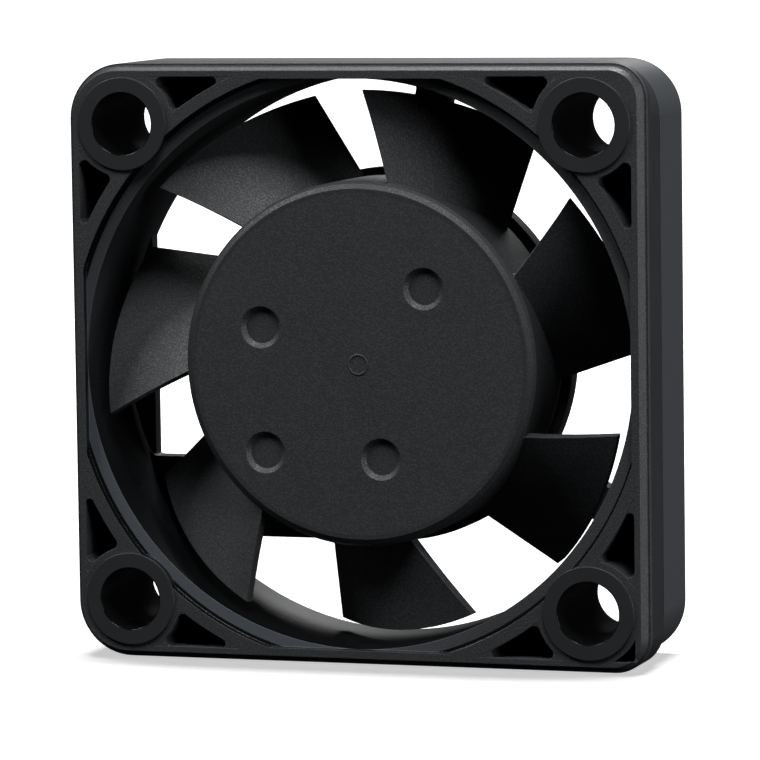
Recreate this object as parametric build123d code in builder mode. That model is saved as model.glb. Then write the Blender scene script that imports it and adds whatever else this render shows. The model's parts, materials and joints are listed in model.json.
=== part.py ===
from build123d import *
from math import atan, cos, degrees, hypot, radians, sin, tan
import os

# Axial cooling fan, 40 mm square and 10 mm thick, standing on its lower edge.
# The fan's axis is the Y axis. Y = 0 is the rear mounting face, on the strut side, and the
# inlet faces -Y. A height is measured forwards from the rear face, so height h is Y = -h.
# Sketches across the axis are seen from the front, with X to the right and Z up.
# Turned pieces are drawn as radius and height on SECTION and revolved about the axis.

# Square frame; a cut starts a little past the face that it opens
frame_size = 40.0
frame_depth = 10.0
rim_wall = 1.0
corner_radius = 3.7
flange_corner_radius = 2.4
flange_depth = 1.6
edge_bevel = 0.45
edge_bevel_depth = 1.2
parting_height = 5.6
parting_groove = 0.12
cut_past = 1.0

# Mounting holes and the bosses round them
hole_inset = 4.0
hole_diameter = 4.2
boss_diameter = 6.2
boss_proud = 0.15

# Stepped inlet: a circle cut by four flats, down to a narrow ledge round the bore
step_width = 1.0
step_depth = 0.6
outlet_break = 0.25

# Moulded pockets beside each boss
pocket_wall = 0.85
pocket_rib = 0.85
pocket_boss_wall = 0.45
pocket_floor = 2.2
pocket_corner_cut = 0.2
corner_pocket_floor = 6.4

# Motor base, struts and lead channel
base_overhang = 0.5
base_thickness = 1.4
base_recess_depth = 0.2
base_recess_rim = 0.9
strut_width = 2.4
strut_angles = (80.0, 326.0)
strut_root_radius = 0.9
strut_sink = 0.5
lead_strut_width = 5.4
lead_channel_width = 2.6
lead_channel_wall = 0.7
lead_channel_depth = 0.8
lead_window_start = 3.0
lead_window_length = 2.6
web_chord = 17.3
web_thickness = 1.0
tube_seat_wall = 1.0
board_seat_wall = 0.9

# Impeller
hub_diameter = 24.4
hub_wall = 0.8
hub_face_thickness = 0.8
hub_edge_round = 0.5
hub_edge_slope = 30.0
running_gap = 0.7
tip_gap = 0.8
blade_count = 7
first_blade_angle = 16.5
blade_span = 35.0
blade_sweep = 8.0
blade_camber = 30.0
blade_thickness = 0.7
blade_inset = 0.52
blade_root_sink = 0.4
blade_bow = 0.25
blade_tip_radius = 0.45
dimple_places = ((-6.8, 2.4), (4.6, 5.1), (1.5, -6.3), (-6.6, -6.0))
dimple_diameter = 2.8
dimple_floor_diameter = 2.2
dimple_depth = 0.3

# Rotor metal and magnet
yoke_thickness = 0.6
magnet_thickness = 1.8
magnet_end_gap = 0.2
magnet_rear_inset = 0.1
air_gap = 0.3
bush_flange_diameter = 5.6
bush_flange_thickness = 0.4
bush_diameter = 4.0
bush_drop = 0.3
shaft_diameter = 2.0
shaft_end_height = 0.45
shaft_top_cover = 0.1
clip_height = 0.54
clip_thickness = 0.2
clip_diameter = 3.5
clip_groove_depth = 0.2
clip_mouth = 1.3
slinger_thickness = 0.25
slinger_diameter = 3.8

# Sleeve bearing and its tube
bearing_diameter = 5.0
bearing_clearance = 0.02
tube_wall = 0.5
tube_lip_width = 0.4
tube_lip_height = 0.4
tube_rear_height = 0.5
plug_height = 0.2
plug_thickness = 0.2
thrust_washer_thickness = 0.13
thrust_washer_diameter = 3.7
thrust_washer_gap = 0.05
oil_cap_thickness = 0.3
oil_cap_gap = 0.25
felt_thickness = 0.7
felt_gap = 0.3

# Stator
board_gap = 0.15
board_thickness = 0.6
board_rim_gap = 0.4
board_hole_gap = 0.1
board_clearance = 0.35
stator_standoff = 0.95
insulator_thickness = 0.5
core_height = 2.4
core_ring_wall = 1.6
pole_count = 4
pole_width = 2.0
pole_shoe_thickness = 1.0
pole_gap = 3.2
winding_build = 0.6
winding_corner_radius = 0.57
winding_side_gap = 0.25
winding_end_gap = 0.2
top_gap = 0.3
insulator_lug_reach = 6.6
insulator_lug_width = 1.6
insulator_shoe_inset = 0.3
terminal_reach = 5.9
terminal_width = 0.5
terminal_tail = 0.1
terminal_angles = (45.0, 135.0, 315.0)
chip_size = (3.0, 2.6, 0.9)
chip_reach = 7.2
chip_angle = 225.0
chip_leg_width = 0.4
chip_leg_length = 0.5
chip_leg_thickness = 0.15
capacitor_size = (1.6, 0.8, 0.8)
capacitor_place = (7.6, 45.0)
capacitor_cap_length = 0.35
capacitor_cap_proud = 0.024
diode_size = (1.7, 1.2, 0.7)
diode_place = (7.5, 135.0)
pad_size = 1.1
pad_height = 0.1
pad_reach = 9.6
pad_angles = (237.0, 247.0)

# Places worked out from the sizes above
bore_radius = frame_size / 2 - rim_wall
step_radius = bore_radius + step_width
hole_spacing = frame_size - 2 * hole_inset
boss_radius = boss_diameter / 2
face_height = frame_depth - boss_proud
ledge_height = face_height - step_depth
hub_radius = hub_diameter / 2
base_radius = hub_radius + base_overhang
tip_radius = bore_radius - tip_gap

board_low = base_thickness + board_gap
board_high = board_low + board_thickness
insulator_low = board_high + stator_standoff
core_low = insulator_low + insulator_thickness
core_high = core_low + core_height
insulator_high = core_high + insulator_thickness
winding_low = insulator_low - winding_build
winding_high = insulator_high + winding_build
yoke_face_low = winding_high + top_gap
yoke_face_high = yoke_face_low + yoke_thickness
hub_high = yoke_face_high + hub_face_thickness
skirt_low = base_thickness + running_gap
yoke_low = board_high + board_clearance
magnet_low = yoke_low + magnet_rear_inset
magnet_high = yoke_face_low - magnet_end_gap

yoke_radius = hub_radius - hub_wall
magnet_radius = yoke_radius - yoke_thickness
magnet_bore_radius = magnet_radius - magnet_thickness
stator_radius = magnet_bore_radius - air_gap
shaft_radius = shaft_diameter / 2
bearing_radius = bearing_diameter / 2
tube_radius = bearing_radius + tube_wall
seat_radius = tube_radius + tube_seat_wall
board_seat_radius = seat_radius + board_seat_wall

tube_high = winding_high
sleeve_low = tube_rear_height + tube_lip_height
felt_high = tube_high - oil_cap_thickness
sleeve_high = felt_high - felt_thickness
bush_low = yoke_face_low + bush_drop
bush_high = yoke_face_high + bush_flange_thickness
shaft_high = bush_high - shaft_top_cover
blade_low = base_thickness + running_gap + blade_thickness / 2
blade_high = hub_high - blade_inset - blade_thickness / 2

# Profiles of turned pieces: local X is the radius and local Y the height
SECTION = Plane(origin=(0, 0, 0), x_dir=(1, 0, 0), z_dir=(0, 0, -1))


def across(height):
    """Plane square to the fan's axis at a height, seen from the front."""
    return Plane.XZ.offset(height)


def turn_ring(inner, outer, low, high, mode=Mode.ADD):
    """Plain ring about the fan's axis, or a disc when the inner radius is zero."""
    with BuildSketch(SECTION) as profile:
        with Locations(((inner + outer) / 2, (low + high) / 2)):
            Rectangle(outer - inner, high - low)
    revolve(profile.sketch, axis=Axis.Y, mode=mode)


def turn_profile(*points, mode=Mode.ADD):
    """Turned shape whose half section is a polygon of radius and height points."""
    with BuildSketch(SECTION) as profile:
        with BuildLine():
            Polyline(*points, close=True)
        make_face()
    revolve(profile.sketch, axis=Axis.Y, mode=mode)


def polar(radius, angle):
    """Point at a radius and an angle, counter-clockwise from +X seen from the front."""
    return (radius * cos(radians(angle)), radius * sin(radians(angle)))


def finish(builder, name):
    """Labels a finished piece and writes it as its own file."""
    builder.part.label = name
    export_step(builder.part, f"parts/{name}.step")


os.makedirs("parts", exist_ok=True)

hole_places = [
    (side * hole_spacing / 2, level * hole_spacing / 2) for side in (-1, 1) for level in (-1, 1)
]
pocket_edge = frame_size / 2 - pocket_wall
pocket_boss_radius = boss_radius + pocket_boss_wall
bevel_angle = degrees(atan(edge_bevel / edge_bevel_depth))
bevel_height = face_height - edge_bevel_depth
spider_radius = bore_radius + strut_sink
lead_strut_low = -base_radius
lead_strut_high = lead_strut_low + lead_strut_width
lead_channel_high = lead_strut_high - lead_channel_wall

# Frame: square housing, bosses, stepped inlet, bore, struts and motor base in one moulding
with BuildPart() as frame_housing:
    with BuildSketch(across(0)) as outline:
        RectangleRounded(frame_size, frame_size, corner_radius)
    extrude(amount=bevel_height)

    # Front flange, with sharper corners on the right; the lower one reaches the parting line
    with BuildSketch(across(bevel_height)) as flange:
        Rectangle(frame_size, frame_size)
        fillet(flange.vertices().group_by(Axis.X)[0], radius=corner_radius)
        fillet(flange.vertices().group_by(Axis.X)[-1], radius=flange_corner_radius)
    for level, low in ((1, face_height - flange_depth), (-1, parting_height)):
        with BuildSketch(across(low)):
            add(flange.sketch_local)
            with Locations((frame_size / 2, level * frame_size / 2)):
                Rectangle(2 * corner_radius, 2 * corner_radius, mode=Mode.INTERSECT)
        extrude(amount=bevel_height - low)

    # Bevelled front edge
    extrude(flange.sketch, amount=edge_bevel_depth, taper=bevel_angle)

    # Shallow groove where the two halves of the mould meet
    with BuildSketch(across(parting_height)):
        Rectangle(2 * frame_size, 2 * frame_size)
        offset(outline.sketch_local, amount=-parting_groove, mode=Mode.SUBTRACT)
    extrude(amount=parting_groove, mode=Mode.SUBTRACT)

    # Stepped inlet, its circle cut by flats in line with the bore
    with BuildSketch(across(ledge_height)):
        Circle(step_radius)
        Rectangle(2 * bore_radius, 2 * bore_radius, mode=Mode.INTERSECT)
    extrude(amount=frame_depth, mode=Mode.SUBTRACT)
    turn_ring(0, bore_radius, -cut_past, frame_depth, mode=Mode.SUBTRACT)

    # Rear edge of the bore, broken at 45 degrees
    turn_profile(
        (0, -outlet_break),
        (bore_radius + 2 * outlet_break, -outlet_break),
        (bore_radius, outlet_break),
        (0, outlet_break),
        mode=Mode.SUBTRACT,
    )

    # Three-sided pockets on both sides of every boss
    with BuildSketch(across(pocket_floor)) as pockets:
        Rectangle(2 * pocket_edge, 2 * pocket_edge)
        Circle(step_radius + pocket_rib, mode=Mode.SUBTRACT)
        with Locations(*hole_places):
            Circle(pocket_boss_radius, mode=Mode.SUBTRACT)
        with Locations(*[(x * 2, z * 2) for x, z in hole_places]):
            Rectangle(hole_spacing, hole_spacing, mode=Mode.SUBTRACT)
        chamfer(pockets.vertices(), length=pocket_corner_cut)
    extrude(amount=frame_depth, mode=Mode.SUBTRACT)

    # One more, shallower pocket outside the lower right boss
    with BuildSketch(across(corner_pocket_floor)):
        with Locations((hole_spacing / 2, -hole_spacing / 2)):
            Rectangle(
                pocket_edge - hole_spacing / 2,
                pocket_edge - hole_spacing / 2,
                align=(Align.MIN, Align.MAX),
            )
            Circle(pocket_boss_radius, mode=Mode.SUBTRACT)
    extrude(amount=frame_depth, mode=Mode.SUBTRACT)

    # Motor base and struts with rounded roots; the lower left strut is wide for the leads
    with BuildSketch(across(0)) as spider:
        Circle(base_radius)
        for angle in strut_angles:
            with Locations(Location((0, 0, 0), (0, 0, angle))):
                Rectangle(spider_radius, strut_width, align=(Align.MIN, Align.CENTER))
        with Locations((0, lead_strut_low)):
            Rectangle(spider_radius, lead_strut_width, align=(Align.MAX, Align.MIN))
        Circle(spider_radius, mode=Mode.INTERSECT)
        with BuildSketch(mode=Mode.PRIVATE) as rim:
            Circle(spider_radius)
            Circle(bore_radius, mode=Mode.SUBTRACT)
        add(rim.sketch)
        roots = [
            corner
            for corner in spider.vertices()
            if hypot(corner.X, corner.Y) < bore_radius + outlet_break and corner.X != 0
        ]
        fillet(roots, radius=strut_root_radius)
    extrude(amount=base_thickness)

    # Flat web across the left side of the outlet
    with BuildSketch(across(0)):
        Circle(spider_radius)
        with Locations((-web_chord, 0)):
            Rectangle(frame_size, frame_size, align=(Align.MIN, Align.CENTER), mode=Mode.SUBTRACT)
    extrude(amount=web_thickness)

    # Seats for the circuit board and the bearing tube
    turn_ring(0, board_seat_radius, base_thickness, board_low)
    turn_ring(0, seat_radius, board_low, insulator_low)
    turn_ring(0, tube_radius, tube_rear_height, insulator_low, mode=Mode.SUBTRACT)
    turn_ring(0, tube_radius - tube_lip_width, -cut_past, tube_rear_height, mode=Mode.SUBTRACT)
    turn_ring(0, base_radius - base_recess_rim, -cut_past, base_recess_depth, mode=Mode.SUBTRACT)

    # Channel for the leads, and the window that it starts from
    with BuildSketch(across(0)):
        with Locations((-lead_window_start, lead_channel_high)):
            Rectangle(frame_size, lead_channel_width, align=(Align.MAX, Align.MAX))
    extrude(amount=lead_channel_depth, mode=Mode.SUBTRACT)
    with BuildSketch(across(0)):
        with Locations((-lead_window_start, lead_channel_high)):
            Rectangle(lead_window_length, lead_channel_width, align=(Align.MAX, Align.MAX))
    extrude(amount=base_thickness, mode=Mode.SUBTRACT)

    # Bosses stand a little proud of the flange, and their holes go right through
    with BuildSketch(across(0)):
        with Locations(*hole_places):
            Circle(boss_radius)
    extrude(amount=frame_depth)
    with BuildSketch(across(0)):
        with Locations(*hole_places):
            Circle(hole_diameter / 2)
    extrude(amount=frame_depth, mode=Mode.SUBTRACT)
finish(frame_housing, "frame_housing")

# Brass tube with a lip that stops the bearing
with BuildPart() as bearing_tube:
    turn_ring(bearing_radius, tube_radius, tube_rear_height, tube_high)
    turn_ring(bearing_radius - tube_lip_width, tube_radius, tube_rear_height, sleeve_low)
finish(bearing_tube, "bearing_tube")

# Sintered bronze sleeve that the shaft runs in
with BuildPart() as sleeve_bearing:
    turn_ring(shaft_radius + bearing_clearance, bearing_radius, sleeve_low, sleeve_high)
finish(sleeve_bearing, "sleeve_bearing")

# Felt ring that stores oil, and the cap that keeps it in the tube
with BuildPart() as felt_ring:
    turn_ring(shaft_radius + felt_gap, bearing_radius, sleeve_high, felt_high)
finish(felt_ring, "felt_ring")
with BuildPart() as oil_cap:
    turn_ring(shaft_radius + oil_cap_gap, bearing_radius, felt_high, tube_high)
finish(oil_cap, "oil_cap")

# Soft plug that closes the tube behind the shaft
with BuildPart() as tube_plug:
    turn_ring(0, tube_radius - tube_lip_width, plug_height, plug_height + plug_thickness)
finish(tube_plug, "tube_plug")

# Stack of four-pole laminations on the bearing tube
shoe_radius = stator_radius - pole_shoe_thickness
core_ring_radius = tube_radius + core_ring_wall
slot_angle = 180 / pole_count
slot_cut_length = 4 * pole_shoe_thickness
with BuildPart() as stator_core:
    with BuildSketch(across(core_low)):
        Circle(stator_radius)
        Circle(shoe_radius, mode=Mode.SUBTRACT)
        with PolarLocations(stator_radius, pole_count, start_angle=slot_angle):
            Rectangle(slot_cut_length, pole_gap, mode=Mode.SUBTRACT)
        with PolarLocations(0, pole_count):
            Rectangle(
                stator_radius - pole_shoe_thickness / 2, pole_width, align=(Align.MIN, Align.CENTER)
            )
        Circle(core_ring_radius)
        Circle(tube_radius, mode=Mode.SUBTRACT)
    extrude(amount=core_height)
finish(stator_core, "stator_core")

# Plastic insulators on both ends of the core, with outer lips that hold the windings
arm_width = pole_width + 2 * winding_side_gap
terminal_places = [polar(terminal_reach, angle) for angle in terminal_angles]
insulator_outer_radius = stator_radius - insulator_shoe_inset
for end, plate_low, lip_low in (
    ("rear", insulator_low, winding_low),
    ("front", core_high, insulator_high),
):
    with BuildPart() as insulator:
        with BuildSketch(across(plate_low)):
            Circle(insulator_outer_radius)
            Circle(shoe_radius, mode=Mode.SUBTRACT)
            with PolarLocations(stator_radius, pole_count, start_angle=slot_angle):
                Rectangle(slot_cut_length, pole_gap, mode=Mode.SUBTRACT)
            with PolarLocations(0, pole_count):
                Rectangle(
                    stator_radius - pole_shoe_thickness / 2, arm_width, align=(Align.MIN, Align.CENTER)
                )
            Circle(core_ring_radius)
            if end == "rear":
                for angle in terminal_angles:
                    with Locations(Location((0, 0, 0), (0, 0, angle))):
                        Rectangle(
                            insulator_lug_reach, insulator_lug_width, align=(Align.MIN, Align.CENTER)
                        )
            Circle(tube_radius, mode=Mode.SUBTRACT)
            if end == "rear":
                with Locations(*terminal_places):
                    Rectangle(terminal_width, terminal_width, mode=Mode.SUBTRACT)
        extrude(amount=insulator_thickness)
        with BuildSketch(across(lip_low)):
            Circle(insulator_outer_radius)
            Circle(shoe_radius, mode=Mode.SUBTRACT)
            with PolarLocations(stator_radius, pole_count, start_angle=slot_angle):
                Rectangle(slot_cut_length, pole_gap, mode=Mode.SUBTRACT)
        extrude(amount=winding_build)
    finish(insulator, f"{end}_insulator")

# One winding round each pole, inside the insulator lips
winding_start = core_ring_radius + winding_end_gap
winding_end = shoe_radius - winding_end_gap
for index in range(pole_count):
    x, z = polar(1, 360 / pole_count * index)
    with BuildPart() as winding:
        with BuildSketch(
            Plane(
                origin=(winding_start * x, -(winding_low + winding_high) / 2, winding_start * z),
                x_dir=(-z, 0, x),
                z_dir=(x, 0, z),
            )
        ):
            RectangleRounded(
                arm_width + 2 * winding_build, winding_high - winding_low, winding_corner_radius
            )
            Rectangle(arm_width, insulator_high - insulator_low, mode=Mode.SUBTRACT)
        extrude(amount=winding_end - winding_start)
    finish(winding, f"winding_{index + 1}")

# Terminal pins between the rear insulator and the circuit board
with BuildPart() as terminal_pins:
    with BuildSketch(across(board_low - terminal_tail)):
        with Locations(*terminal_places):
            Rectangle(terminal_width, terminal_width)
    extrude(amount=core_low + insulator_thickness - board_low + terminal_tail)
finish(terminal_pins, "terminal_pins")

# Ring-shaped circuit board on its seat round the tube
board_radius = magnet_radius - board_rim_gap
with BuildPart() as circuit_board:
    with BuildSketch(across(board_low)):
        Circle(board_radius)
        Circle(seat_radius + board_hole_gap, mode=Mode.SUBTRACT)
        with Locations(*terminal_places):
            Rectangle(terminal_width, terminal_width, mode=Mode.SUBTRACT)
    extrude(amount=board_thickness)
finish(circuit_board, "circuit_board")


def board_plane(reach, angle, height):
    """Plane on the board whose X runs outwards and whose normal faces the inlet."""
    x, z = polar(reach, angle)
    across_x, across_z = polar(1, angle)
    return Plane(origin=(x, -height, z), x_dir=(across_x, 0, across_z), z_dir=(0, -1, 0))


# Driver chip with a built-in position sensor, and its four legs
chip_length, chip_width, chip_height = chip_size
with BuildPart() as driver_chip:
    with BuildSketch(board_plane(chip_reach, chip_angle, board_high)):
        Rectangle(chip_width, chip_length)
    extrude(amount=chip_height)
    chamfer(driver_chip.edges().filter_by(Axis.Y, reverse=True).group_by(Axis.Y)[0], chip_leg_thickness)
    with BuildSketch(board_plane(chip_reach, chip_angle, board_high)):
        with GridLocations(chip_width / 2, chip_length, 2, 2):
            Rectangle(chip_leg_width, 2 * chip_leg_length)
    extrude(amount=chip_leg_thickness)
finish(driver_chip, "driver_chip")

# Chip capacitor with metal end caps
cap_length, cap_width, cap_height = capacitor_size
with BuildPart() as filter_capacitor:
    with BuildSketch(board_plane(*capacitor_place, board_high)):
        Rectangle(cap_width, cap_length)
    extrude(amount=cap_height)
    with BuildSketch(board_plane(*capacitor_place, board_high)):
        with GridLocations(0, cap_length - capacitor_cap_length, 1, 2):
            Rectangle(cap_width + 2 * capacitor_cap_proud, capacitor_cap_length)
    extrude(amount=cap_height + capacitor_cap_proud)
finish(filter_capacitor, "filter_capacitor")

# Diode that guards against a reversed supply
diode_length, diode_width, diode_height = diode_size
with BuildPart() as protection_diode:
    with BuildSketch(board_plane(*diode_place, board_high)):
        Rectangle(diode_width, diode_length)
    extrude(amount=diode_height)
    with BuildSketch(board_plane(*diode_place, board_high)):
        Rectangle(chip_leg_width, diode_length + 2 * chip_leg_length)
    extrude(amount=chip_leg_thickness)
finish(protection_diode, "protection_diode")

# Two tinned pads for the leads, over the window in the motor base
with BuildPart() as lead_pads:
    with BuildSketch(across(board_low - pad_height)):
        with Locations(*[polar(pad_reach, angle) for angle in pad_angles]):
            Rectangle(pad_size, pad_size)
    extrude(amount=pad_height)
finish(lead_pads, "lead_pads")

# One blade, drawn at angle zero and cut to the bore's clearance
lead_root_angle = (blade_span - blade_sweep) / 2
lead_tip_angle = (blade_span + blade_sweep) / 2


def edge_offset(distance, root_angle, tip_angle):
    """Sideways place of a blade edge that runs straight from the hub to the tip."""
    root_out, root_side = polar(hub_radius, root_angle)
    tip_out, tip_side = polar(tip_radius, tip_angle)
    return root_side + (distance - root_out) * (tip_side - root_side) / (tip_out - root_out)


def draw_blade_section(distance, bow):
    """Curved section of even thickness on a plane square to the blade's own radius."""
    lead = edge_offset(distance, lead_root_angle, lead_tip_angle) - bow
    trail = edge_offset(distance, -lead_tip_angle, -lead_root_angle)
    run = lead - trail
    drop = blade_high - blade_low
    chord = hypot(run, drop)
    along = (run / chord, drop / chord)
    rise = chord * tan(radians(blade_camber / 4)) / 2
    middle = ((lead + trail) / 2, (blade_high + blade_low) / 2)
    tilt = radians(blade_camber / 2)

    def skin_point(start, reach, out, turn):
        """Point off the camber line, square to it where it has turned by an angle."""
        square = (-along[1] * cos(turn) + along[0] * sin(turn), along[0] * cos(turn) + along[1] * sin(turn))
        return (
            start[0] - along[1] * reach + square[0] * out,
            start[1] + along[0] * reach + square[1] * out,
        )

    front_side, rear_side = [
        (
            skin_point((lead, blade_high), 0, out, tilt),
            skin_point(middle, rise, out, 0),
            skin_point((trail, blade_low), 0, out, -tilt),
        )
        for out in (blade_thickness / 2, -blade_thickness / 2)
    ]
    plane = Plane(origin=(distance, 0, 0), x_dir=(0, 0, 1), z_dir=(1, 0, 0))
    with BuildSketch(plane) as section:
        with BuildLine():
            ThreePointArc(*front_side)
            Line(front_side[2], rear_side[2])
            ThreePointArc(*reversed(rear_side))
            Line(rear_side[0], front_side[0])
        make_face()
    return section.sketch


root_distance = hub_radius * cos(radians(lead_tip_angle)) - hub_wall
tip_distance = tip_radius + blade_thickness
middle_distance = (root_distance + tip_distance) / 2
with BuildPart() as blade:
    loft(
        [
            draw_blade_section(root_distance, 0),
            draw_blade_section(middle_distance, blade_bow),
            draw_blade_section(tip_distance, 0),
        ]
    )
    with BuildSketch(SECTION) as envelope:
        with Locations((hub_radius - blade_root_sink, skirt_low)):
            Rectangle(
                tip_radius - hub_radius + blade_root_sink,
                hub_high - skirt_low,
                align=(Align.MIN, Align.MIN),
            )
        front_corner = envelope.vertices().group_by(Axis.Y)[-1].sort_by(Axis.X)[-1]
        fillet(front_corner, radius=blade_tip_radius)
    revolve(envelope.sketch, axis=Axis.Y, mode=Mode.INTERSECT)

# Impeller: hub cup with a rounded edge and moulded dimples, and its swept blades
flange_radius = bush_flange_diameter / 2
edge_middle = hub_edge_round / (1 + 1 / tan(radians(hub_edge_slope)))
with BuildPart() as impeller:
    turn_profile(
        (flange_radius, yoke_face_high),
        (yoke_radius, yoke_face_high),
        (yoke_radius, skirt_low),
        (hub_radius, skirt_low),
        (hub_radius, hub_high - hub_edge_round),
        (hub_radius - edge_middle, hub_high - edge_middle),
        (hub_radius - hub_edge_round, hub_high),
        (0, hub_high),
        (0, bush_high),
        (flange_radius, bush_high),
    )
    with BuildSketch(across(hub_high)):
        with Locations(*dimple_places):
            Circle(dimple_diameter / 2)
    extrude(
        amount=-dimple_depth,
        taper=degrees(atan((dimple_diameter - dimple_floor_diameter) / 2 / dimple_depth)),
        mode=Mode.SUBTRACT,
    )
    for index in range(blade_count):
        turn = -first_blade_angle - index * 360 / blade_count
        with Locations(Location((0, 0, 0), (0, turn, 0))):
            add(blade.part)
finish(impeller, "impeller")

# Brass bush moulded into the hub, which holds the shaft and the yoke
bush_radius = bush_diameter / 2
with BuildPart() as shaft_bush:
    turn_profile(
        (shaft_radius, bush_low),
        (bush_radius, bush_low),
        (bush_radius, yoke_face_high),
        (flange_radius, yoke_face_high),
        (flange_radius, bush_high),
        (0, bush_high),
        (0, shaft_high),
        (shaft_radius, shaft_high),
    )
finish(shaft_bush, "shaft_bush")

# Steel cup behind the hub that closes the magnet's field
with BuildPart() as rotor_yoke:
    turn_profile(
        (bush_radius, yoke_face_low),
        (magnet_radius, yoke_face_low),
        (magnet_radius, yoke_low),
        (yoke_radius, yoke_low),
        (yoke_radius, yoke_face_high),
        (bush_radius, yoke_face_high),
    )
finish(rotor_yoke, "rotor_yoke")

with BuildPart() as magnet_ring:
    turn_ring(magnet_bore_radius, magnet_radius, magnet_low, magnet_high)
finish(magnet_ring, "magnet_ring")

# Shaft with a groove for the clip behind the bearing
clip_high = clip_height + clip_thickness
groove_radius = shaft_radius - clip_groove_depth
with BuildPart() as shaft:
    turn_ring(0, shaft_radius, shaft_end_height, shaft_high)
    turn_ring(groove_radius, shaft_radius, clip_height, clip_high, mode=Mode.SUBTRACT)
finish(shaft, "shaft")

with BuildPart() as retaining_clip:
    with BuildSketch(across(clip_height)):
        Circle(clip_diameter / 2)
        Circle(groove_radius, mode=Mode.SUBTRACT)
        Rectangle(clip_diameter, clip_mouth, align=(Align.MIN, Align.CENTER), mode=Mode.SUBTRACT)
    extrude(amount=clip_thickness)
finish(retaining_clip, "retaining_clip")

# Slippery washer between the clip and the rear end of the sleeve
with BuildPart() as thrust_washer:
    turn_ring(
        shaft_radius + thrust_washer_gap,
        thrust_washer_diameter / 2,
        clip_high,
        clip_high + thrust_washer_thickness,
    )
finish(thrust_washer, "thrust_washer")

# Ring on the shaft that throws creeping oil back towards the felt
with BuildPart() as oil_slinger:
    turn_ring(shaft_radius, slinger_diameter / 2, bush_low - slinger_thickness, bush_low)
finish(oil_slinger, "oil_slinger")
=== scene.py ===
import json
import math

import bmesh
import bpy
import numpy as np
from mathutils import Matrix, Vector

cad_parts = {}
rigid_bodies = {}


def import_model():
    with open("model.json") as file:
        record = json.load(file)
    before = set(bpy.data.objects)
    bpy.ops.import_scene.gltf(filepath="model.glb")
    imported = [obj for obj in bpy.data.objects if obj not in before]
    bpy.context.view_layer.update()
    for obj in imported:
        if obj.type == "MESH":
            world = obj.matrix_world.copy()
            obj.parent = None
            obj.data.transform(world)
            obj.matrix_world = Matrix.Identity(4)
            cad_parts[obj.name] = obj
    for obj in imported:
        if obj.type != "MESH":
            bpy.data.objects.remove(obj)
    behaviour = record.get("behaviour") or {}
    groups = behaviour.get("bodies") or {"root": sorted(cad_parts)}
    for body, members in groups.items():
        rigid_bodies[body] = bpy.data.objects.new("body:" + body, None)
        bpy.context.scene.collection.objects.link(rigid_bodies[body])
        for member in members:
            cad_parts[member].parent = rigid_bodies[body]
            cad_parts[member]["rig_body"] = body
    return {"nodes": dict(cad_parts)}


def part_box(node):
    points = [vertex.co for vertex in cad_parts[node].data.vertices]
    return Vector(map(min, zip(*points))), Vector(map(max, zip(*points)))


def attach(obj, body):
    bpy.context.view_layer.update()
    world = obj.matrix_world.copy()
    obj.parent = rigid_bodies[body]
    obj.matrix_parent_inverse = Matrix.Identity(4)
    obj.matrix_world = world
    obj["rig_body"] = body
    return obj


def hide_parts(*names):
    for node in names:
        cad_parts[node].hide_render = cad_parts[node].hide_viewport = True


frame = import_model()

bl_info = {
    "name": "Axial Cooling Fan",
    "version": (1, 0, 0),
    "blender": (4, 5, 0),
    "location": "View3D > Sidebar > Cooling Fan",
    "description": "Gives a packed axial fan its moulded plastic, motor finishes, floor and lights",
    "category": "Object",
}

# Places are in metres: X to the right and Z up, seen from the inlet, and Y towards the outlet.
# The fan's axis is the Y axis, and its rear mounting face lies at Y = 0. A height is measured
# forwards from that face, and a reach is measured from the axis along X or Z.
MM = 0.001
FRAME_LOW, FRAME_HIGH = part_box("frame_housing")
HALF_WIDTH = FRAME_HIGH.x
FRONT_FACE = -FRAME_LOW.y
PARTING_HEIGHT = 5.6 * MM
CORNER_RADIUS = 3.7 * MM
CORNER_REACH = HALF_WIDTH - CORNER_RADIUS

# The bosses round the four holes stand a little in front of the frame's face.
FACE_HEIGHT = FRONT_FACE - 0.15 * MM
HOLE_REACH = HALF_WIDTH - 4 * MM
HOLE_RADIUS = 2.1 * MM
BOSS_RADIUS = 3.1 * MM

# The inlet has a low wall at its front, then a ledge, then the bore.
BORE_RADIUS = HALF_WIDTH - 1.0 * MM
STEP_RADIUS = BORE_RADIUS + 1.0 * MM
LEDGE_HEIGHT = FACE_HEIGHT - 0.6 * MM

# A pocket beside a boss lies between a straight wall, a wall round the inlet and one round the boss.
POCKET_EDGE = HALF_WIDTH - 0.85 * MM
POCKET_ARC = HALF_WIDTH + 0.85 * MM
POCKET_BOSS = BOSS_RADIUS + 0.45 * MM
POCKET_FLOOR = 2.2 * MM
CORNER_POCKET_FLOOR = 6.4 * MM

# Radii that round the pockets: beside the boss, at the tip, and in the square corner pocket.
BOSS_ROUNDING = 0.4 * MM
TIP_ROUNDING = 0.3 * MM
CORNER_ROUNDING = 0.35 * MM
ROUNDING_POINTS = 9

# How far a rounding is sunk into the wall and the floor, and how far it stays under the face.
WALL_SINK = 0.03 * MM
FLOOR_SINK = 0.05 * MM
FACE_GAP = 0.006 * MM

# Masks of the frame's plastic: how far they reach past a face and a wall, the band behind the face
# that has grain, the rim round the inlet, the foot of its wall, which has painted shade, and the
# slack round a hole, whose wall has painted shade.
FACE_SLACK = 0.03 * MM
WALL_SLACK = 0.1 * MM
GRAIN_BAND = 1.2 * MM
RIM_WIDTH = 0.6 * MM
FOOT_WIDTH = 0.25 * MM
HOLE_SLACK = 0.05 * MM

# How much lighter a painted reflection makes the rear sides, how much lighter the ledge and the bosses
# are, and how much smoother the walls with painted shade are.
REAR_PAINTED_REFLECTION = 0.9
LEDGE_SHADE = 0.4
BOSS_SHADE = 0.1
POLISH_SHINE = 0.25
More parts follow.
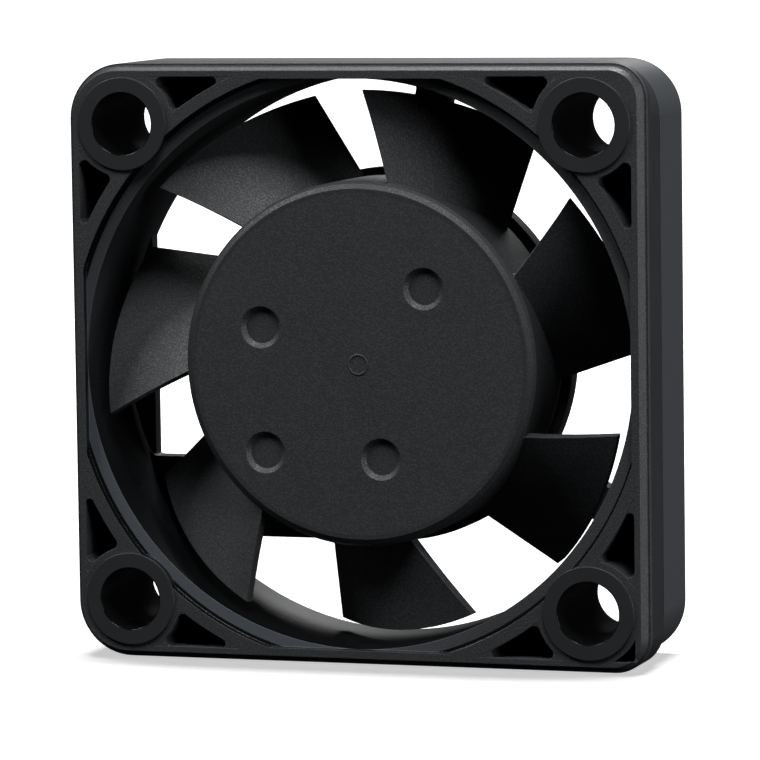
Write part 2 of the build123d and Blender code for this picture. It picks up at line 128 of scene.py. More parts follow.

# The hub, the band at its edge that has painted shade and how much it darkens, and how deep the grain
# is there and on the blades.
HUB_FACE = -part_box("impeller")[0].y
HUB_RADIUS = 12.2 * MM
HUB_BAND = 0.8 * MM
HUB_EDGE_PAINTED_SHADE = -0.35
HUB_GRAIN = 0.6
BLADE_GRAIN = 0.8

# The gate's lip on the hub: a profile of radius and height in millimetres, and its steps in a turn.
GATE_PROFILE = ((0.56, -0.02), (0.74, -0.02), (0.71, 0.03), (0.67, 0.045), (0.63, 0.045), (0.59, 0.03))
GATE_STEPS = 48

# Copies of CAD nodes: corners closer than this are one, faces within this angle are one, and edges
# above this angle stay sharp. New pieces have an angle of their own.
WELD_DISTANCE = 0.001 * MM
FLAT_DEGREES = 0.1
SHARP_DEGREES = 20
NEW_SHARP_DEGREES = 30

# Moulded plastic: the part of the noise's range where its specks appear, how much specks and clouds
# lighten the colour, how much smoother a speck is, and how deep the skin between the grain is.
SPECK_RANGE = (0.47, 0.61)
SPECK_SHADE = 0.8
SPECK_SHINE = 0.12
CLOUD_SIZE = 3 * MM
CLOUD_SHADE = 0.25
SKIN_SCALE = 0.4
SKIN_DEPTH = 0.15
BEVEL_SAMPLES = 6

# The chips' metal legs end at this height. A capacitor's metal caps start this far from its middle.
LEG_HEIGHT = 2.31 * MM
CAP_START = 0.45 * MM

# The floor runs back to where it bends up, and ends as a wall. It glows more away from the fan.
FLOOR_FRONT = -1500 * MM
FLOOR_BACK = 450 * MM
FLOOR_BEND = 250 * MM
FLOOR_BEND_POINTS = 24
FLOOR_TOP = 1600 * MM
FLOOR_HALF_WIDTH = 1800 * MM
GLOW_START, GLOW_END = 60 * MM, 200 * MM
BACKDROP_GLOW = 1.1

# Each light's name, bearing and height angle in degrees, and the setting that holds its power.
LIGHTS = (
    ("key", 30, 60, "key_power"),
    ("left fill", -60, 46, "fill_power"),
    ("right fill", 71, 9, "side_power"),
    ("edge", 100, 12, "edge_power"),
    ("back", 180, 50, "back_power"),
)
FLOOR_LIGHT = ("floor light", 180, 84)
FLOOR_LIGHT_WIDTH, FLOOR_LIGHT_DEPTH = 450 * MM, 80 * MM
LIGHT_SIZE = 250 * MM
LIGHT_DISTANCE = 650 * MM

# The camera as fitted to the photograph. The focal length is in widths of the picture.
CAMERA_PLACE = (105.2 * MM, -327.5 * MM, 33 * MM)
CAMERA_YAW, CAMERA_PITCH, CAMERA_ROLL = (math.radians(angle) for angle in (-18.02, -5.79, -0.8))
CAMERA_CLIP = 10 * MM
FOCAL_LENGTH = 5084 / 760
SENSOR_WIDTH = 36


class Wire:
    """A shader value. Sums and products of wires and numbers add the Math nodes that they need."""

    def __init__(self, finish, socket):
        self.finish = finish
        self.socket = socket

    def maths(self, operation, *values):
        """One Math node of an operation on values."""
        settings = {"operation": operation}
        return self.finish.node("ShaderNodeMath", settings, dict(enumerate(values)))

    def __add__(self, other):
        return self.maths("ADD", self, other)

    def __radd__(self, other):
        return self.maths("ADD", other, self)

    def __sub__(self, other):
        return self.maths("SUBTRACT", self, other)

    def __rsub__(self, other):
        return self.maths("SUBTRACT", other, self)

    def __mul__(self, other):
        return self.maths("MULTIPLY", self, other)

    def __rmul__(self, other):
        return self.maths("MULTIPLY", other, self)

    def __pow__(self, other):
        return self.maths("POWER", self, other)

    def __abs__(self):
        return self.maths("ABSOLUTE", self)

    def at_least(self, low):
        """The value, or a low limit where the value is under it."""
        return self.maths("MAXIMUM", self, low)

    def above(self, limit):
        """One where the value passes a limit, and zero elsewhere."""
        return self.maths("GREATER_THAN", self, limit)

    def below(self, limit):
        """One where the value stays under a limit, and zero elsewhere."""
        return self.maths("LESS_THAN", self, limit)

    def rise(self, low, high):
        """Goes evenly from zero at one value to one at another."""
        return self.finish.node("ShaderNodeMapRange", {}, {0: self, 1: low, 2: high})

    def waves(self, pitch):
        """Sine wave along the value, with a pitch from crest to crest."""
        return self.maths("SINE", self * (math.tau / pitch))


class Finish:
    """One material, whose nodes all come from one method."""

    def __init__(self, name):
        self.material = bpy.data.materials.new(name)
        self.material.use_nodes = True
        self.tree = self.material.node_tree
        self.shader = self.tree.nodes["Principled BSDF"]

    def node(self, kind, settings, values, output=0):
        """Adds a node of a kind: first its settings, then the values or wires of its sockets."""
        made = self.tree.nodes.new(kind)
        for name, setting in settings.items():
            setattr(made, name, setting)
        for name, value in values.items():
            self.fill(made.inputs[name], value)
        return Wire(self, made.outputs[output])

    def fill(self, socket, value):
        """Links a wire to a socket, or sets the socket's own value."""
        if isinstance(value, Wire):
            self.tree.links.new(value.socket, socket)
        else:
            socket.default_value = value

    def set(self, values):
        """Sets sockets of the main shader."""
        for name, value in values.items():
            self.fill(self.shader.inputs[name], value)

    def point(self):
        """The place on the piece, as a vector."""
        return self.node("ShaderNodeTexCoord", {}, {}, "Object")

    def axis(self, letter):
        """One coordinate of the place on the piece."""
        return self.node("ShaderNodeSeparateXYZ", {}, {0: self.point()}, letter)

    def height(self):
        """How far the place lies in front of the rear face."""
        return 0 - self.axis("Y")

    def noise(self, size, detail):
        """Cloudy pattern whose lumps have about a given size."""
        values = {"Vector": self.point(), "Scale": 1 / size, "Detail": detail}
        return self.node("ShaderNodeTexNoise", {}, values)

    def blend(self, share, low, high):
        """Blends two colours by a share."""
        return self.node("ShaderNodeMix", {"data_type": "RGBA"}, {0: share, 6: low, 7: high}, 2)

    def bump(self, height, depth, edge=0.0):
        """Raises the surface by a height times a depth, and rounds the look of its edges by a radius."""
        values = {"Height": height, "Distance": depth}
        if edge:
            settings = {"samples": BEVEL_SAMPLES}
            values["Normal"] = self.node("ShaderNodeBevel", settings, {"Radius": edge})
        return self.node("ShaderNodeBump", {}, values)

    def dress(self, piece):
        """Puts the finish on a whole piece."""
        piece.data.materials.clear()
        piece.data.materials.append(self.material)

    def dress_nodes(self, *nodes):
        """Puts the finish on CAD nodes."""
        for node in nodes:
            self.dress(frame["nodes"][node])


def distance(first, second):
    """Length of a flat vector of two wires."""
    return (first * first + second * second) ** 0.5


def grey(level, tint=0.0):
    """A grey colour with a slight blue tint."""
    return (level * (1 - tint), level, level * (1 + tint), 1.0)


def add_object(name, data):
    """Makes an object from its data and puts it in the scene."""
    made = bpy.data.objects.new(name, data)
    bpy.context.scene.collection.objects.link(made)
    return made


def smooth_copy(node):
    """Copy of a CAD node with its corners merged, smooth across shallow edges, flat on large faces."""
    source = frame["nodes"][node]
    mesh = bpy.data.meshes.new(node + "_skin")
    work = bmesh.new()
    work.from_mesh(source.data)
    bmesh.ops.remove_doubles(work, verts=work.verts, dist=WELD_DISTANCE)
    bmesh.ops.dissolve_limit(
        work,
        angle_limit=math.radians(FLAT_DEGREES),
        verts=work.verts,
        edges=work.edges,
        use_dissolve_boundaries=False,
    )
    work.to_mesh(mesh)
    work.free()
    stored = mesh.attributes.get("custom_normal")
    if stored:
        mesh.attributes.remove(stored)
    mesh.shade_smooth()
    mesh.set_sharp_from_angle(angle=math.radians(SHARP_DEGREES))
    piece = add_object(node + "_skin", mesh)
    flat = piece.modifiers.new("Flat faces", "WEIGHTED_NORMAL")
    flat.mode = "FACE_AREA"
    flat.weight = 100
    flat.keep_sharp = True
    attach(piece, source["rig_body"])
    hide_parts(node)
    return piece


def new_piece(name, points, faces):
    """Makes a piece from an array of points and lists of point numbers, with its faces outwards."""
    mesh = bpy.data.meshes.new(name)
    mesh.from_pydata(points.reshape(-1, 3).tolist(), [], faces)
    work = bmesh.new()
    work.from_mesh(mesh)
    bmesh.ops.recalc_face_normals(work, faces=work.faces)
    work.to_mesh(mesh)
    work.free()
    mesh.shade_smooth()
    mesh.set_sharp_from_angle(angle=math.radians(NEW_SHARP_DEGREES))
    return add_object(name, mesh)


def mould(finish, look, grained, depth=1.0, pale=0.0, painted_highlight=0.0, polished=0.0, rough=0.0):
    """Makes a finish black moulded plastic.

    The values from grained to rough are wires or numbers: where the grain is and how deep, how
    much lighter or darker the plastic is, partly its own tone and partly painted reflection and
    shade, where a painted highlight lies, where painted shade darkens the walls, and how much is
    added to its roughness.
    """
    grain = finish.noise(look.grain_size, 3.0)
    skin = finish.noise(look.grain_size * SKIN_SCALE, 1.0)
    height = grain * grained * depth + skin * (1 - grained) * (1 - polished) * SKIN_DEPTH
    cloud = finish.noise(CLOUD_SIZE, 3.0)
    speck = grain.rise(*SPECK_RANGE) * grained
    share = speck * SPECK_SHADE + cloud * CLOUD_SHADE + pale
    colour = finish.blend(share, tuple(look.colour), tuple(look.grain_and_painted_light_colour))
    colour = finish.blend(painted_highlight, colour, tuple(look.painted_highlight_colour))
    colour = finish.blend(polished, colour, tuple(look.painted_shade_colour))
    smooth = look.smooth_roughness
    finish.set(
        {
            "Base Color": colour,
            "Roughness": smooth + (look.roughness - smooth) * grained + rough - speck * SPECK_SHINE,
            "Normal": finish.bump(height, look.grain_depth, look.edge_radius),
            "Specular IOR Level": look.shine,
        }
    )
    return finish


def colour_setting(name, description, default):
    """Setting that holds a colour."""
    return bpy.props.FloatVectorProperty(
        name=name, description=description, default=default, subtype="COLOR", size=4, min=0, max=1
    )


def share_setting(name, description, default):
    """Setting between nothing and all."""
    return bpy.props.FloatProperty(name=name, description=description, default=default, min=0, max=1)


def length_setting(name, description, default):
    """Setting that holds a small length."""
    return bpy.props.FloatProperty(
        name=name, description=description, default=default, unit="LENGTH", precision=6
    )


def glow_setting(name, description, default):
    """Setting of a brightness."""
    return bpy.props.FloatProperty(name=name, description=description, default=default, min=0)


def power_setting(name, description, default):
    """Setting of a light's power."""
    return bpy.props.FloatProperty(
        name=name, description=description, default=default, subtype="POWER", min=0
    )


class PlasticLook(bpy.types.PropertyGroup):
    """Colours and grain of the black moulded plastic."""

    colour: colour_setting("Colour", "Colour of the plastic", (0.011, 0.0128, 0.0145, 1))
    # Painted highlight: a lighter colour painted on the lower left of the ledge, where the light falls.
    painted_highlight_colour: colour_setting(
        "Ledge colour", "Colour of the bright ledge in the inlet", (0.05, 0.058, 0.067, 1)
    )
    # Painted shade: a near-black colour painted on the inlet's step wall and its foot, in the holes and
    # in the front of the lower bore.
    painted_shade_colour: colour_setting(
        "Polished colour", "Colour of the walls that the mould polished", (0.003, 0.0033, 0.0036, 1)
    )
    # Lighter colour for the grain's specks and clouds and the paler ledge and bosses, and also for the
    # painted reflection on the rear sides.
    grain_and_painted_light_colour: colour_setting(
        "Grain colour", "Lighter colour of the raised grain", (0.034, 0.0375, 0.0415, 1)
    )
    roughness: share_setting("Grain roughness", "Roughness where the plastic is stippled", 0.6)
    smooth_roughness: share_setting("Smooth roughness", "Roughness of the bosses and sides", 0.42)
    shine: share_setting("Shine", "Strength of the reflection", 0.45)
    grain_size: length_setting("Grain size", "Width of a grain", 0.12 * MM)
    edge_radius: length_setting("Edge radius", "Rounding of the moulded edges", 0.07 * MM)
    grain_depth: length_setting("Grain depth", "Height of a grain", 0.03 * MM)


class StageLook(bpy.types.PropertyGroup):
    """Floor, sky and lights."""

    floor_colour: colour_setting("Floor", "Colour of the floor", (0.9, 0.9, 0.9, 1))
    floor_glow: glow_setting("Floor glow", "Light that the floor gives off near the fan", 0.56)
    floor_power: power_setting("Floor light", "Power of the light for the floor", 5.5)
    sky_strength: glow_setting("Sky", "Brightness of the even light from all sides", 0.006)
    key_power: power_setting("Key light", "Power of the large light", 4.3)
    side_power: power_setting("Right fill", "Power of the light on the right", 1.5)
    fill_power: power_setting("Left fill", "Power of the light on the left", 3.1)
    edge_power: power_setting("Edge light", "Power of the light beside the fan", 2.3)
    back_power: power_setting("Back light", "Power of the light behind", 4.2)


class FAN_OT_frame(bpy.types.Operator):
    """Finishes the square moulded frame and rounds the corners of its pockets"""

    bl_idname = "cooling_fan.frame"
    bl_label = "Frame"

    def execute(self, context):
        finish = frame_plastic(context.scene.fan_plastic)
        for piece in (smooth_copy("frame_housing"), round_pockets()):
            finish.dress(piece)
        return {"FINISHED"}


def frame_plastic(look):
    """Plastic with grain on the face, paler bosses and ledge, a painted reflection on the rear sides, a
    painted highlight on the lower left of the ledge, and painted shade on the step wall, its foot, the
    holes and the front of the lower bore, which are also smoother.
    """
    finish = Finish("Frame plastic")
    x, z = finish.axis("X"), finish.axis("Z")
    height = finish.height()
    radius = distance(x, z)
    from_hole = distance(abs(x) - HOLE_REACH, abs(z) - HOLE_REACH)
    from_corner = distance(*((abs(way) - CORNER_REACH).at_least(0.0) for way in (x, z)))

    front = height.above(FACE_HEIGHT - GRAIN_BAND)
    # The rear sides behind the parting line, lightened by a painted reflection.
    rear = height.below(PARTING_HEIGHT) * from_corner.above(CORNER_RADIUS - WALL_SLACK)
    within = from_corner.below(CORNER_RADIUS - RIM_WIDTH) * height.below(FACE_HEIGHT - FACE_SLACK)
    opening = radius.below(STEP_RADIUS + WALL_SLACK) * within
    step_wall = opening * height.above(LEDGE_HEIGHT + FACE_SLACK)
    ledge = opening * height.above(LEDGE_HEIGHT - FACE_SLACK) * (1 - step_wall)
    foot = ledge * radius.above(STEP_RADIUS - FOOT_WIDTH)
    behind_ledge = opening * height.below(LEDGE_HEIGHT - FACE_SLACK)
    bore = behind_ledge * radius.above(BORE_RADIUS - WALL_SLACK)
    hole = from_hole.below(HOLE_RADIUS + HOLE_SLACK)
    boss = from_hole.below(BOSS_RADIUS)

    # The front of the bore's lower half, where painted shade lies.
    near_inlet = height.rise(2 * MM, 6 * MM)
    low_in_bore = 1 - z.rise(-8 * MM, 8 * MM)
    # The lower left of the ledge, where a painted highlight lies.
    low_on_ledge = 1 - z.rise(-4 * MM, 10 * MM)
    left_on_ledge = 1 - x.rise(-3 * MM, 9 * MM)
    # Painted shade in the recesses: the step wall, its foot, the holes and the front of the lower bore;
    # these walls are also smoother.
    polished = step_wall + foot + hole + bore * near_inlet * low_in_bore
    return mould(
        finish,
        look,
        grained=front * (1 - boss) * (1 - bore) * (1 - step_wall),
        pale=rear * REAR_PAINTED_REFLECTION + ledge * LEDGE_SHADE + front * boss * BOSS_SHADE,
        painted_highlight=low_on_ledge * left_on_ledge * ledge,
        polished=polished,
        rough=polished * -POLISH_SHINE,
    )


def meet_line(reach, ring, ring_radius):
    """Where a level line at a reach crosses a circle, on the side nearer to the middle."""
    across, up = ring
    return np.array([across + math.sqrt(ring_radius**2 - (reach - up) ** 2), reach])


def meet_circles(first, first_radius, second, second_radius):
    """The crossing of two circles that lies nearer to the level axis."""
    gap = second - first
    apart = np.hypot(*gap)
    along = (apart**2 + first_radius**2 - second_radius**2) / (2 * apart)
    side = math.sqrt(first_radius**2 - along**2)
    normal = np.array([gap[1], -gap[0]]) / apart
    base = first + gap * along / apart
    both = (base + normal * side, base - normal * side)
    return min(both, key=lambda place: place[1])


def rounding(corner, centre, radius, first, second):
    """Outline that fills a corner: the corner, and an arc of a radius between its touching points."""
    start, end = (math.atan2(*(touch - centre)[::-1]) for touch in (first, second))
    turn = (end - start + math.pi) % math.tau - math.pi
    angles = start + turn * np.linspace(0, 1, ROUNDING_POINTS)
    arc = centre + radius * np.stack([np.cos(angles), np.sin(angles)], axis=1)
    away = (corner - centre) / np.hypot(*(corner - centre))
    return np.concatenate([[corner + away * WALL_SINK], arc])


def pocket_roundings():
    """Outlines in the three corners of the pocket that lies to the right of the upper left boss."""
    middle = np.zeros(2)
    boss = np.array([-HOLE_REACH, HOLE_REACH])
    radius = BOSS_ROUNDING
    wall, ring, disc = POCKET_EDGE - radius, POCKET_ARC + radius, POCKET_BOSS + radius
    outer = meet_line(wall, boss, disc)
    inner = meet_circles(middle, ring, boss, disc)
    outlines = [
        rounding(
            meet_line(POCKET_EDGE, boss, POCKET_BOSS),
            outer,
            radius,
            np.array([outer[0], POCKET_EDGE]),
            boss + (outer - boss) * POCKET_BOSS / disc,
        ),
        rounding(
            meet_circles(middle, POCKET_ARC, boss, POCKET_BOSS),
            inner,
            radius,
            inner * POCKET_ARC / ring,
            boss + (inner - boss) * POCKET_BOSS / disc,
        ),
    ]
    radius = TIP_ROUNDING
    wall, ring = POCKET_EDGE - radius, POCKET_ARC + radius
    tip = np.array([-math.sqrt(ring**2 - wall**2), wall])
    sharp = np.array([-math.sqrt(POCKET_ARC**2 - POCKET_EDGE**2), POCKET_EDGE])
    touches = (np.array([tip[0], POCKET_EDGE]), tip * POCKET_ARC / ring)
    outlines.append(rounding(sharp, tip, radius, *touches))
    return outlines


def round_pockets():
    """Upright fillets in the corners of the pockets.

    An outline in the X and Z plane, a corner and the arc that rounds it, is carried from the
    pocket's floor to the front face. Mirroring and swapping X and Z takes one pocket's outlines
    to all eight. The square pocket at the lower right has one fillet of its own.
    """
    prisms = []
    for outline in pocket_roundings():
        for across in (1, -1):
            for up in (1, -1):
                flat = outline * (across, up)
                prisms += [(flat, POCKET_FLOOR), (flat[:, ::-1], POCKET_FLOOR)]
    radius = CORNER_ROUNDING
    square = np.array([POCKET_EDGE, -POCKET_EDGE])
    centre = square + (-radius, radius)
    touches = (centre + (radius, 0), centre - (0, radius))
    prisms.append((rounding(square, centre, radius, *touches), CORNER_POCKET_FLOOR))
    points, faces, count = [], [], 0
    for outline, floor in prisms:
        size = len(outline)
        for height in (floor - FLOOR_SINK, FACE_HEIGHT - FACE_GAP):
            level = np.full(size, -height)
            points.append(np.stack([outline[:, 0], level, outline[:, 1]], axis=1))
        low = list(range(count, count + size))
        high = [number + size for number in low]
        faces += [low, high]
        faces += [[low[k - 1], low[k], high[k], high[k - 1]] for k in range(size)]
        count += 2 * size
    piece = new_piece("pocket_corners", np.concatenate(points), faces)
    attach(piece, "frame")
    return piece


class FAN_OT_impeller(bpy.types.Operator):
    """Finishes the hub and its blades, and adds the mark of the mould's gate"""

    bl_idname = "cooling_fan.impeller"
    bl_label = "Impeller"

    def execute(self, context):
        finish = impeller_plastic(context.scene.fan_plastic)
        for piece in (smooth_copy("impeller"), gate_mark()):
            finish.dress(piece)
        return {"FINISHED"}


def impeller_plastic(look):
    """Plastic with fine grain all over, deeper on the blades, with painted shade on the edge of the hub.
    """
    finish = Finish("Impeller plastic")
    radius = distance(finish.axis("X"), finish.axis("Z"))
    blades = radius.above(HUB_RADIUS)
    # Painted shade on a band at the hub's rounded edge.
    band = radius.above(HUB_RADIUS - HUB_BAND) - blades
    depth = HUB_GRAIN + blades * (BLADE_GRAIN - HUB_GRAIN)
    return mould(finish, look, grained=1.0, depth=depth, pale=band * HUB_EDGE_PAINTED_SHADE)


def gate_mark():
    """Low lip in the middle of the hub, where the plastic enters the mould.

    A closed profile of radius r and height h is turned round the fan's axis by an angle t:
    X = r cos t, Y = -h, Z = r sin t.
    """
    profile = np.array(GATE_PROFILE) * MM
    turn = np.linspace(0, math.tau, GATE_STEPS, endpoint=False)
    radius, height = profile[:, 0], profile[:, 1] + HUB_FACE
    points = np.stack(
        [
            np.outer(np.cos(turn), radius),
            np.outer(np.ones_like(turn), -height),
            np.outer(np.sin(turn), radius),
        ],
        axis=2,
    )
    rows, columns = points.shape[:2]
    row, column = np.meshgrid(np.arange(rows), np.arange(columns), indexing="ij")
    start, next_start = row * columns, (row + 1) % rows * columns
    next_column = (column + 1) % columns
    faces = np.stack(
        [start + column, next_start + column, next_start + next_column, start + next_column],
        axis=2,
    )
    piece = new_piece("gate_mark", points, faces.reshape(-1, 4).tolist())
    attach(piece, "rotor")
    return piece


class FAN_OT_motor_metal(bpy.types.Operator):
    """Finishes the shaft, bearing, yoke, magnet and laminations"""

    bl_idname = "cooling_fan.motor_metal"
    bl_label = "Motor metal"

    def execute(self, context):
        steel = Finish("Shaft steel")
        rings = steel.axis("Y").waves(0.04 * MM)
        steel.set(
            {
                "Base Color": grey(0.55, 0.02),
                "Metallic": 1.0,
                "Roughness": 0.22 + rings * 0.03,
            }
        )
        steel.dress_nodes("shaft")

        plated = Finish("Plated yoke steel")
        cloud = plated.noise(2 * MM, 4.0)
        plated.set(
            {
                "Base Color": plated.blend(cloud, grey(0.3, 0.02), grey(0.42, 0.02)),
                "Metallic": 1.0,
                "Roughness": 0.3 + cloud * 0.15,
            }
        )
        plated.dress_nodes("rotor_yoke")

        sheets = Finish("Stacked lamination steel")
        layer = sheets.axis("Y").waves(0.35 * MM)
        sheets.set(
            {
                "Base Color": sheets.blend(layer.rise(-1.0, -0.5), grey(0.06), grey(0.3, 0.02)),
                "Metallic": 0.9,
                "Roughness": 0.42,
                "Normal": sheets.bump(layer, 0.03 * MM),
            }
        )
        sheets.dress_nodes("stator_core")

        brass = Finish("Turned brass")
        rings = brass.axis("Y").waves(0.06 * MM)
        brass.set(
            {
                "Base Color": (0.62, 0.42, 0.16, 1),
                "Metallic": 1.0,
                "Roughness": 0.28 + rings * 0.04,
            }
        )
        brass.dress_nodes("bearing_tube", "shaft_bush")

        bronze = Finish("Sintered bronze")
        pores = bronze.noise(0.12 * MM, 2.0)
        dark, light = (0.12, 0.07, 0.03, 1), (0.4, 0.25, 0.12, 1)
        bronze.set(
            {
                "Base Color": bronze.blend(pores.rise(0.35, 0.6), dark, light),
                "Metallic": 0.85,
                "Roughness": 0.5,
                "Normal": bronze.bump(pores, 0.02 * MM),
            }
        )
        bronze.dress_nodes("sleeve_bearing")

        ferrite = Finish("Bonded ferrite")
        dust = ferrite.noise(0.1 * MM, 3.0)
        ferrite.set(
            {
                "Base Color": ferrite.blend(dust, grey(0.02), grey(0.06)),
                "Roughness": 0.7,
                "Normal": ferrite.bump(dust, 0.015 * MM),
            }
        )
        ferrite.dress_nodes("magnet_ring")
        return {"FINISHED"}


class FAN_OT_windings(bpy.types.Operator):
    """Finishes the four windings and their insulators"""

    bl_idname = "cooling_fan.windings"
    bl_label = "Windings"

    def execute(self, context):
        for number, letter in enumerate("XZXZ", 1):
            copper = Finish(f"Enamelled copper {number}")
            # Darker in the grooves between the turns: painted shade.
            turns = abs(copper.axis(letter).waves(0.32 * MM))
            dark, light = (0.1, 0.03, 0.01, 1), (0.55, 0.19, 0.06, 1)
            copper.set(
                {
                    "Base Color": copper.blend(turns.rise(0.1, 0.7), dark, light),
                    "Metallic": 0.8,
                    "Roughness": 0.3,
                    "Coat Weight": 0.5,
                    "Normal": copper.bump(turns, 0.06 * MM),
                }
            )
            copper.dress_nodes(f"winding_{number}")

        nylon = Finish("Natural nylon")
        cloud = nylon.noise(1.5 * MM, 3.0)
        nylon.set(
            {
                "Base Color": nylon.blend(cloud, (0.62, 0.6, 0.52, 1), (0.7, 0.68, 0.6, 1)),
                "Roughness": 0.45 + cloud * 0.1,
                "Subsurface Weight": 0.1,
            }
        )
        nylon.dress_nodes("rear_insulator", "front_insulator")
        nylon.dress_nodes("oil_cap", "thrust_washer", "oil_slinger", "retaining_clip")
        return {"FINISHED"}


class FAN_OT_electronics(bpy.types.Operator):
    """Finishes the circuit board and what is soldered to it"""

    bl_idname = "cooling_fan.electronics"
    bl_label = "Electronics"

    def execute(self, context):
        board = Finish("Solder resist")
        weave = board.axis("X").waves(0.3 * MM) * board.axis("Z").waves(0.3 * MM)
        cloud = board.noise(2 * MM, 2.0)
        board.set(
            {
                "Base Color": board.blend(cloud, (0.01, 0.1, 0.035, 1), (0.02, 0.16, 0.06, 1)),
                "Roughness": 0.35,
                "Normal": board.bump(weave, 0.003 * MM),
            }
        )
        board.dress_nodes("circuit_board")

        epoxy = Finish("Chip epoxy")
        dust = epoxy.noise(0.08 * MM, 2.0)
        legs = epoxy.height().below(LEG_HEIGHT)
        epoxy.set(
            {
                "Base Color": epoxy.blend(legs, grey(0.018), grey(0.5)),
                "Metallic": legs * 0.9,
                "Roughness": 0.6 - legs * 0.3,
                "Normal": epoxy.bump(dust, 0.006 * MM),
            }
        )
        epoxy.dress_nodes("driver_chip", "protection_diode")

        # The capacitor lies across the board at 45 degrees.
        ceramic = Finish("Fired ceramic")
        along = abs((ceramic.axis("X") - ceramic.axis("Z")) * math.sqrt(0.5))
        cap = along.above(CAP_START)
        ceramic.set(
            {
                "Base Color": ceramic.blend(cap, (0.36, 0.22, 0.11, 1), grey(0.55)),
                "Metallic": cap * 0.9,
                "Roughness": 0.4,
            }
        )
        ceramic.dress_nodes("filter_capacitor")

        tin = Finish("Tinned metal")
        cloud = tin.noise(0.4 * MM, 3.0)
        tin.set(
            {
                "Base Color": grey(0.6, 0.01),
                "Metallic": 1.0,
                "Roughness": 0.2 + cloud * 0.2,
                "Normal": tin.bump(cloud, 0.02 * MM),
            }
        )
        tin.dress_nodes("terminal_pins", "lead_pads")
        return {"FINISHED"}


class FAN_OT_fittings(bpy.types.Operator):
    """Finishes the felt ring and the soft plug"""

    bl_idname = "cooling_fan.fittings"
    bl_label = "Small fittings"

    def execute(self, context):
        felt = Finish("Oiled felt")
        hair = felt.noise(0.1 * MM, 5.0)
        felt.set(
            {
                "Base Color": felt.blend(hair, (0.2, 0.16, 0.1, 1), (0.45, 0.38, 0.27, 1)),
                "Roughness": 0.9,
                "Normal": felt.bump(hair, 0.08 * MM),
            }
        )
        felt.dress_nodes("felt_ring")

        rubber = Finish("Soft plug")
        dust = rubber.noise(0.15 * MM, 2.0)
        rubber.set(
            {
                "Base Color": rubber.blend(dust, grey(0.012), grey(0.02)),
                "Roughness": 0.75,
                "Normal": rubber.bump(dust, 0.01 * MM),
            }
        )
        rubber.dress_nodes("tube_plug")
        return {"FINISHED"}


class FAN_OT_stage(bpy.types.Operator):
    """Sets up the pale floor, the soft lights and the camera"""

    bl_idname = "cooling_fan.stage"
    bl_label = "Stage"

    def execute(self, context):
        look = context.scene.fan_stage
        floor = lay_floor(look)
        light_sky(look)
        hang_lights(look, floor)
        place_camera()
        return {"FINISHED"}


def lay_floor(look):
    """Floor that curves up into a backdrop: a flat run, a quarter circle and a wall."""
    turn = np.linspace(0, math.pi / 2, FLOOR_BEND_POINTS)
    bend = FLOOR_BACK + FLOOR_BEND * np.sin(turn)
    along = np.concatenate([[FLOOR_FRONT], bend, [FLOOR_BACK + FLOOR_BEND]])
    up = np.concatenate([[0.0], FLOOR_BEND * (1 - np.cos(turn)), [FLOOR_TOP]]) + FRAME_LOW.z
    side = np.array([-FLOOR_HALF_WIDTH, FLOOR_HALF_WIDTH])
    points = np.stack(np.broadcast_arrays(side, along[:, None], up[:, None]), axis=2)
    first = np.arange(len(along) - 1) * 2
    faces = np.stack([first, first + 1, first + 3, first + 2], axis=1)
    mesh = bpy.data.meshes.new("floor")
    mesh.from_pydata(points.reshape(-1, 3).tolist(), [], faces.tolist())
    mesh.shade_smooth()
    floor = add_object("floor", mesh)
    paper = Finish("Floor paper")
    far = distance(paper.axis("X"), paper.axis("Y")).rise(GLOW_START, GLOW_END)
    paper.set(
        {
            "Base Color": tuple(look.floor_colour),
            "Roughness": 0.9,
            "Emission Color": paper.blend(far, grey(look.floor_glow), grey(BACKDROP_GLOW)),
            "Emission Strength": 1.0,
        }
    )
    paper.dress(floor)
    floor.visible_diffuse = False
    floor.visible_glossy = False
    return floor


def light_sky(look):
    """Dim, even light from all sides."""
    sky = bpy.data.worlds.new("Studio")
    bpy.context.scene.world = sky
    sky.use_nodes = True
    backdrop = sky.node_tree.nodes["Background"]
    backdrop.inputs["Color"].default_value = (1, 1, 1, 1)
    backdrop.inputs["Strength"].default_value = look.sky_strength


def direction(around, above):
    """Unit vector to a bearing, counted from the front towards the right, and a height angle."""
    around, above = math.radians(around), math.radians(above)
    flat = math.cos(above)
    return Vector((math.sin(around) * flat, -math.cos(around) * flat, math.sin(above)))


def hang_light(name, around, above, power, width=LIGHT_SIZE, depth=LIGHT_SIZE):
    """Lamp at a bearing and a height angle, turned towards the fan."""
    lamp = bpy.data.lights.new(name, "AREA")
    lamp.shape = "RECTANGLE"
    lamp.size = width
    lamp.size_y = depth
    lamp.energy = power
    hung = add_object(name, lamp)
    towards = direction(around, above)
    hung.location = towards * LIGHT_DISTANCE
    hung.rotation_euler = (-towards).to_track_quat("-Z", "Y").to_euler()
    return hung


def hang_lights(look, floor):
    """Lights for the fan, which leave out the floor, and one more for the floor alone."""
    lights = [
        hang_light(name, around, above, getattr(look, power))
        for name, around, above, power in LIGHTS
    ]
    others = bpy.data.collections.new("All but the floor")
    others.objects.link(floor)
    others.collection_objects[0].light_linking.link_state = "EXCLUDE"
    for light in lights:
        light.light_linking.receiver_collection = others
    ground = bpy.data.collections.new("Floor alone")
    ground.objects.link(floor)
    size = (FLOOR_LIGHT_WIDTH, FLOOR_LIGHT_DEPTH)
    overhead = hang_light(*FLOOR_LIGHT, look.floor_power, *size)
    overhead.light_linking.receiver_collection = ground


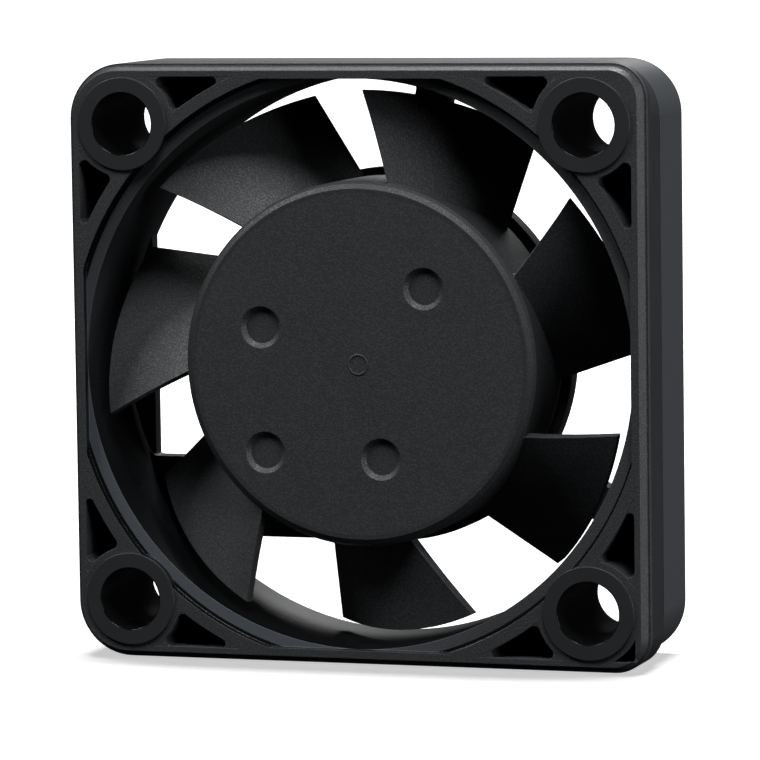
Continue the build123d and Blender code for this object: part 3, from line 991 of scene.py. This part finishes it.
def place_camera():
    """Camera to the right of the fan and a little above its middle, turned to look at it."""
    lens = bpy.data.cameras.new("camera")
    camera = add_object("camera", lens)
    level = math.cos(CAMERA_PITCH)
    forward = Vector(
        (math.sin(CAMERA_YAW) * level, math.cos(CAMERA_YAW) * level, math.sin(CAMERA_PITCH))
    )
    right = forward.cross(Vector((0, 0, 1))).normalized()
    up = right.cross(forward)
    rolled_right = right * math.cos(CAMERA_ROLL) + up * math.sin(CAMERA_ROLL)
    rolled_up = up * math.cos(CAMERA_ROLL) - right * math.sin(CAMERA_ROLL)
    turn = Matrix((rolled_right, rolled_up, -forward)).transposed().to_4x4()
    camera.matrix_world = Matrix.Translation(CAMERA_PLACE) @ turn
    lens.sensor_width = SENSOR_WIDTH
    lens.lens = FOCAL_LENGTH * SENSOR_WIDTH
    lens.clip_start = CAMERA_CLIP
    bpy.context.scene.camera = camera
    bpy.context.scene.view_settings.view_transform = "Standard"


class FAN_PT_panel(bpy.types.Panel):
    """Lists the fan's looks and operators"""

    bl_idname = "FAN_PT_panel"
    bl_label = "Cooling fan"
    bl_space_type = "VIEW_3D"
    bl_region_type = "UI"
    bl_category = "Cooling Fan"

    def draw(self, context):
        column = self.layout.column()
        for group in (context.scene.fan_plastic, context.scene.fan_stage):
            for name in group.__annotations__:
                column.prop(group, name)
        for operator in OPERATORS:
            column.operator(operator.bl_idname)


OPERATORS = (
    FAN_OT_frame,
    FAN_OT_impeller,
    FAN_OT_motor_metal,
    FAN_OT_windings,
    FAN_OT_electronics,
    FAN_OT_fittings,
    FAN_OT_stage,
)
CLASSES = (PlasticLook, StageLook, *OPERATORS, FAN_PT_panel)


def register():
    for listed in CLASSES:
        bpy.utils.register_class(listed)
    bpy.types.Scene.fan_plastic = bpy.props.PointerProperty(type=PlasticLook)
    bpy.types.Scene.fan_stage = bpy.props.PointerProperty(type=StageLook)


def unregister():
    del bpy.types.Scene.fan_stage
    del bpy.types.Scene.fan_plastic
    for listed in reversed(CLASSES):
        bpy.utils.unregister_class(listed)


def main():
    """Registers the add-on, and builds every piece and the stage."""
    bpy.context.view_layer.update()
    register()
    for operator in OPERATORS:
        group, name = operator.bl_idname.split(".")
        getattr(getattr(bpy.ops, group), name)()


if __name__ == "__main__":
    main()
